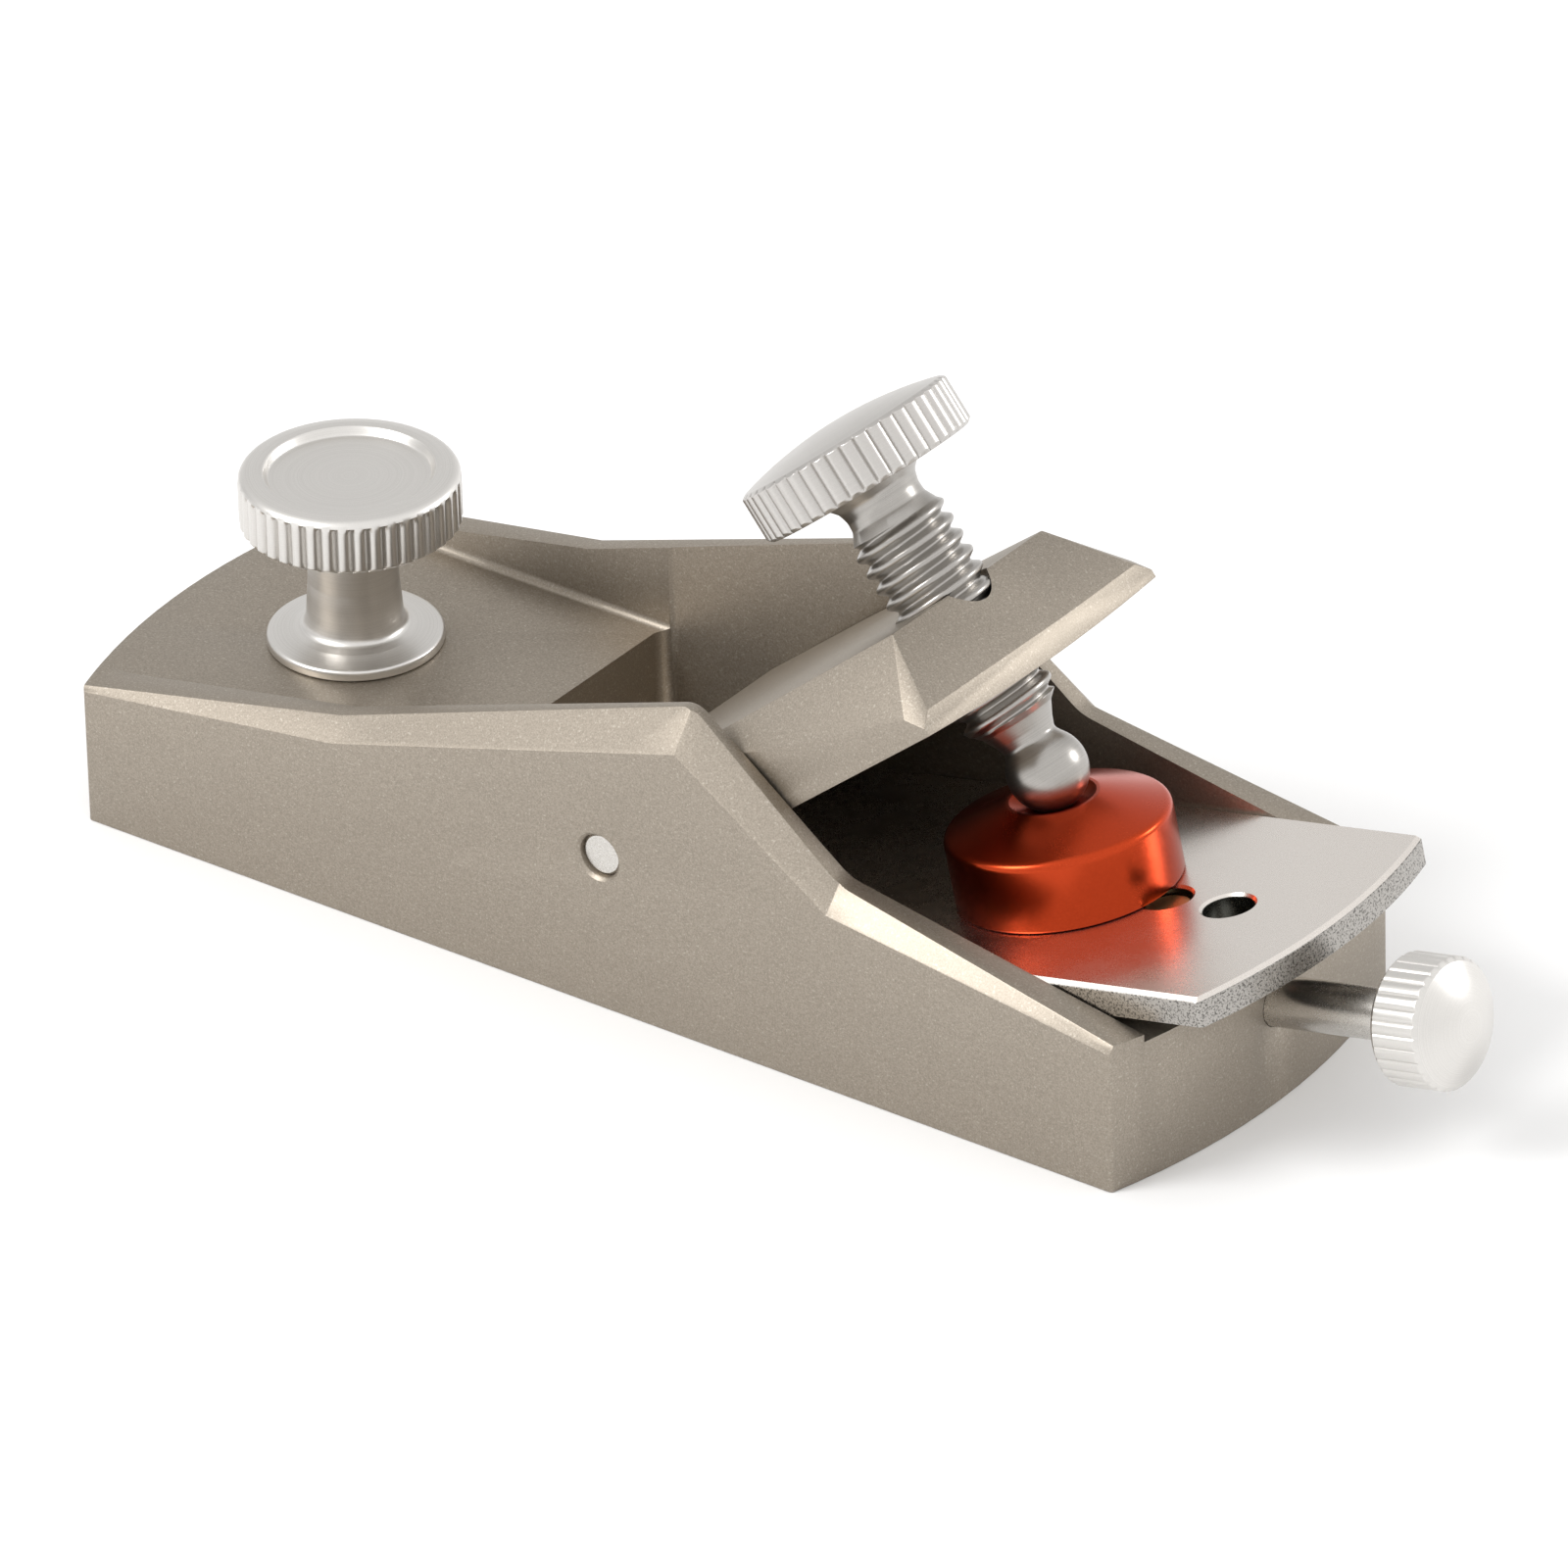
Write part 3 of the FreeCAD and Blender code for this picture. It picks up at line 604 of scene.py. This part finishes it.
def makeClampScrew(v):
    joint = joints["clamp_turn"]
    matrix = axesMatrix(joint["pos_m"], joint["axis"], (0, 1, 0))
    points = [*ballPoints(v["ball"], v["neckAngle"], v["ballSteps"]), *v["neck"],
              *v["threadStart"], *v["threadEnd"], *v["collar"]]
    profile = refined(roundedProfile(points), *v["threadRows"], v["threadSpacing"])
    # the shank takes the darker copy of the steel, painted shade for its thread
    shank = turnedPiece("threadedShank", profile, v["shankColumns"], matrix,
                        [(threadCutter, v["thread"])], threadShadedShankSteel, v["shankSmooth"])
    rimTop = v["headLow"] + v["rim"]
    domeEdge = v["head"] - v["domeInset"]
    crown = [(r, rimTop + v["dome"] * (1.0 - (r / domeEdge) ** 2))
             for r in (v["domeStep"] * k for k in range(v["domeRings"], -1, -1))]
    headPoints = [(0.0, v["headLow"]), (v["head"] - v["footInset"], v["headLow"], 0.2),
                  (v["head"], v["headLow"] + v["footRise"], 0.15),
                  (v["head"], rimTop - v["rimDrop"], 0.2),
                  (v["head"] - v["rimInset"], rimTop, 0.3), *crown]
    headProfile = refined(roundedProfile(headPoints), v["headLow"], rimTop + v["rowsPastRim"],
                          v["rowSpacing"])
    head = turnedPiece("flutedClampHead", headProfile, v["ribs"] * v["columnsPerRib"], matrix,
                       [(fluteCutter, fluteInputs(v))], headSteel)
    for made in (shank, head):
        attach(made, "clamp_screw")
        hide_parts("clamp_screw")


adjusterKnob = {
    "ribs": 30,
    "columnsPerRib": 12,
    "ribLow": -0.2,
    "ribHigh": 5.4,
    "ribDepth": 0.18,
    "ribSquareness": 3.0,
    "rowSpacing": 0.5,
    "head": 6.4,
    "footRise": 0.5,
    "rim": 5.5,
    "rimDrop": 0.4,
    "rimInset": 0.5,
    "rimLip": 0.05,
    "rowsPastRim": 0.3,
    "dome": 1.9,
    "domeRings": 10,
    "setback": 22.7,
}


def makeAdjusterKnob(v):
    joint = joints["adjuster_turn"]
    forward = Vector(joint["axis"])
    start = Vector(joint["pos_m"]) - forward * v["setback"] * mm
    inner = v["head"] - v["rimInset"]
    sphere = (inner ** 2 + v["dome"] ** 2) / (2 * v["dome"])
    domeFoot = v["rim"] + v["dome"] - sphere
    crown = [(r, domeFoot + math.sqrt(sphere ** 2 - r ** 2))
             for r in (inner * k / v["domeRings"] for k in range(v["domeRings"] - 1, -1, -1))]
    points = [(0.0, 0.0), (inner, 0.0, 0.2), (v["head"], v["footRise"], 0.2),
              (v["head"], v["rim"] - v["rimDrop"], 0.3),
              (inner + v["rimLip"], v["rim"] + v["rimLip"], 0.25), *crown]
    profile = refined(roundedProfile(points), 0.0, v["rim"] + v["rowsPastRim"], v["rowSpacing"])
    made = turnedPiece("flutedAdjusterKnob", profile, v["ribs"] * v["columnsPerRib"],
                       axesMatrix(start, -forward, (0, 1, 0)), [(fluteCutter, fluteInputs(v))],
                       brushedSteel)
    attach(made, "adjuster")
    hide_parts("adjuster_knob")


pressurePad = {
    "columns": 200,
    "cornerSteps": 6,
    "radius": 11.0,
    "rimEdge": 0.95,
    "topDrop": 2.67,
    "coneHeight": 2.3,
    "mouth": 4.2,
    "mouthDepth": 0.06,
    "coneTop": 4.55,
    "ball": 4.05,
}


def makePad(v):
    joint = joints["clamp_turn"]
    along = Vector(joints["blade_depth"]["axis"])
    up = Vector((-along.z, 0.0, along.x)).normalized()
    ball = Vector(joint["pos_m"])
    low = min(vertex.co.dot(up) for vertex in nodes["pressure_pad"].data.vertices)
    foot = ball - up * (ball.dot(up) - low)
    reach = (ball - foot).length / mm
    high = reach - v["topDrop"]
    mouthDrop = v["topDrop"] + v["mouthDepth"]
    slope = (math.asin(v["ball"] / math.hypot(v["mouth"], mouthDrop))
             - math.atan2(mouthDrop, v["mouth"]))
    seatTip = reach - v["ball"] / math.cos(slope)
    points = [(0.0, 0.0), (v["radius"], 0.0, 0.35),
              (v["radius"], high - v["coneHeight"], v["rimEdge"]),
              (v["coneTop"], high, 0.15), (v["mouth"], high),
              (v["mouth"], high - v["mouthDepth"]), (0.0, seatTip)]
    made = turnedPiece("redPressurePad", roundedProfile(points, v["cornerSteps"]), v["columns"],
                       axesMatrix(foot, up, (0, 1, 0)), [], padRed)
    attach(made, "pressure_pad")
    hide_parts("pressure_pad")


makeFrontKnob(frontKnob)
makeClampScrew(clampScrew)
makeAdjusterKnob(adjusterKnob)
makePad(pressurePad)
print("turned pieces made")


# distance in metres under which corners are one, and angle in degrees under which faces are flat
mergeDistance = 2e-6
flatAngle = 0.4
edgeSegments = 2

milled = {
    "body": {"name": "milledBody", "width": 0.22, "angle": 12.0, "smooth": 30.0},
    "lever_cap": {"name": "milledLeverCap", "width": 0.22, "angle": 8.0, "smooth": 30.0},
}


def softenedCopy(node, values, material, body):
    # a merged copy of the solid with its sharp edges just broken, as after blasting
    made = newObject(values["name"], nodes[node].data.copy())
    shape = bmesh.new()
    shape.from_mesh(made.data)
    bmesh.ops.remove_doubles(shape, verts=shape.verts, dist=mergeDistance)
    bmesh.ops.dissolve_limit(shape, angle_limit=math.radians(flatAngle), verts=shape.verts,
                             edges=shape.edges)
    shape.to_mesh(made.data)
    shape.free()
    made.data.materials.clear()
    made.data.materials.append(material)
    bevel = made.modifiers.new("brokenEdges", "BEVEL")
    bevel.width = values["width"] * mm
    bevel.segments = edgeSegments
    bevel.limit_method = "ANGLE"
    bevel.angle_limit = math.radians(values["angle"])
    bevel.use_clamp_overlap = True
    bevel.harden_normals = False
    keepResult(made, bevel)
    made.data.name = values["name"]
    smoothed(made, values["smooth"])
    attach(made, body)
    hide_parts(node)


softenedCopy("body", milled["body"], blastedGrey, "body")
softenedCopy("lever_cap", milled["lever_cap"], blastedGrey, "lever_cap")
print("milled pieces made")

plainNodes = {
    "cross_pin": plainSteel,
    "knob_stud": plainSteel,
    "blade": bladeSteelHoleShade,
    "adjuster_carriage": carriageBrass,
    "drive_pin": carriageBrass,
    "adjuster_spindle": plainSteel,
    "thrust_washer": plainSteel,
    "retaining_clip": springSteel,
    "body": blastedGrey,
    "lever_cap": blastedGrey,
    "front_knob": plainSteel,
    "clamp_screw": plainSteel,
    "adjuster_knob": plainSteel,
    "pressure_pad": padRed,
}
for name, material in plainNodes.items():
    for holder in nodes[name].material_slots:
        holder.material = material


studio = {
    "floor": (0.86, 0.86, 0.86),
    "fleck": (0.7, 0.7, 0.7),
    "fleckSize": 0.02,
    "fleckShare": 0.05,
    "floorRoughness": 0.85,
    "floorReach": 3.0,
    "floorDrop": 0.00008,
    "world": (1.0, 0.995, 0.99),
    "worldStrength": 1.12,
    "shades": ({"toward": (0.5, -0.6, 0.62), "loss": 0.26, "spread": 62.0},
               {"toward": (0.93, 0.32, 0.20), "loss": 0.34, "spread": 46.0}),
}

lights = {
    "keyFromToe": {"toward": (0.38, 0.60, 0.70), "size": 0.44, "power": 5.6},
    "behindHeel": {"toward": (-0.60, -0.687, 0.405), "size": 0.26, "power": 2.1},
}


def makeFloor(values):
    shape = bmesh.new()
    bmesh.ops.create_grid(shape, x_segments=2, y_segments=2, size=values["floorReach"])
    mesh = bpy.data.meshes.new("paleFloor")
    shape.to_mesh(mesh)
    shape.free()
    mesh.transform(Matrix.Translation((0, 0, -values["floorDrop"])))
    material, start = newMaterial("palePaper")
    place = start.node("ShaderNodeTexCoord", out=3)
    fleck = noise(start, place, values["fleckSize"], 3.0)
    tone = mixColour(start, fleck * values["fleckShare"], colour(values["floor"]),
                     colour(values["fleck"]))
    shader = start.node("ShaderNodeBsdfPrincipled", {}, {
        "Base Color": tone, "Roughness": values["floorRoughness"]})
    finishMaterial(start, shader)
    mesh.materials.append(material)
    newObject("paleFloor", mesh)


def makeLights(world, lamps):
    # an even pale room, a little darker on two sides
    sky = bpy.data.worlds.new("softStudio")
    sky.use_nodes = True
    sky.node_tree.nodes.clear()
    start = Wire(sky.node_tree)
    direction = start.node("ShaderNodeTexCoord", out=0)
    strength = world["worldStrength"]
    for shade in world["shades"]:
        facing = start.node("ShaderNodeVectorMath", {"operation": "DOT_PRODUCT"},
                            {0: direction, 1: tuple(Vector(shade["toward"]).normalized())}, out=1)
        lobe = start.node("ShaderNodeMapRange", {"clamp": True, "interpolation_type": "SMOOTHSTEP"},
                          {"Value": facing, "From Min": math.cos(math.radians(shade["spread"])),
                           "From Max": 1.0})
        strength = (1.0 - lobe * shade["loss"]) * strength
    background = start.node("ShaderNodeBackground", {}, {
        "Color": colour(world["world"]), "Strength": strength})
    start.node("ShaderNodeOutputWorld", {}, {"Surface": background})
    bpy.context.scene.world = sky
    for name, lamp in lamps.items():
        data = bpy.data.lights.new(name, "AREA")
        data.shape = "DISK"
        data.size = lamp["size"]
        data.energy = lamp["power"]
        made = bpy.data.objects.new(name, data)
        toward = Vector(lamp["toward"]).normalized()
        made.location = toward
        made.rotation_euler = toward.to_track_quat("Z", "Y").to_euler()
        bpy.context.scene.collection.objects.link(made)


cameraView = {
    "azimuth": 217.31,
    "elevation": 30.27,
    "roll": -1.504,
    "distance": 1.5855,
    "lens": 380.1,
    "sensor": 36.0,
    "clip": (0.01, 20.0),
    "target": (0.001, 0.0, 0.012),
    "nudge": (6.143, 0.747),
}


def makeCamera(values):
    a, e = math.radians(values["azimuth"]), math.radians(values["elevation"])
    away = Vector((math.sin(a) * math.cos(e), -math.cos(a) * math.cos(e), math.sin(e)))
    right = Vector((0, 0, 1)).cross(away).normalized()
    up = away.cross(right)
    roll = math.radians(values["roll"])
    tiltedRight = right * math.cos(roll) + up * math.sin(roll)
    tiltedUp = up * math.cos(roll) - right * math.sin(roll)
    target = (Vector(values["target"]) + tiltedRight * values["nudge"][0] * mm
              + tiltedUp * values["nudge"][1] * mm)
    data = bpy.data.cameras.new("bench")
    data.lens = values["lens"]
    data.sensor_width = values["sensor"]
    data.clip_start, data.clip_end = values["clip"]
    made = bpy.data.objects.new("bench", data)
    turn = Matrix((tiltedRight, tiltedUp, away)).transposed().to_4x4()
    made.matrix_world = Matrix.Translation(target + away * values["distance"]) @ turn
    bpy.context.scene.collection.objects.link(made)
    bpy.context.scene.camera = made


makeFloor(studio)
makeLights(studio, lights)
makeCamera(cameraView)
bpy.context.scene.view_settings.view_transform = "Standard"
print("floor, lights and camera set")

bpy.context.view_layer.update()
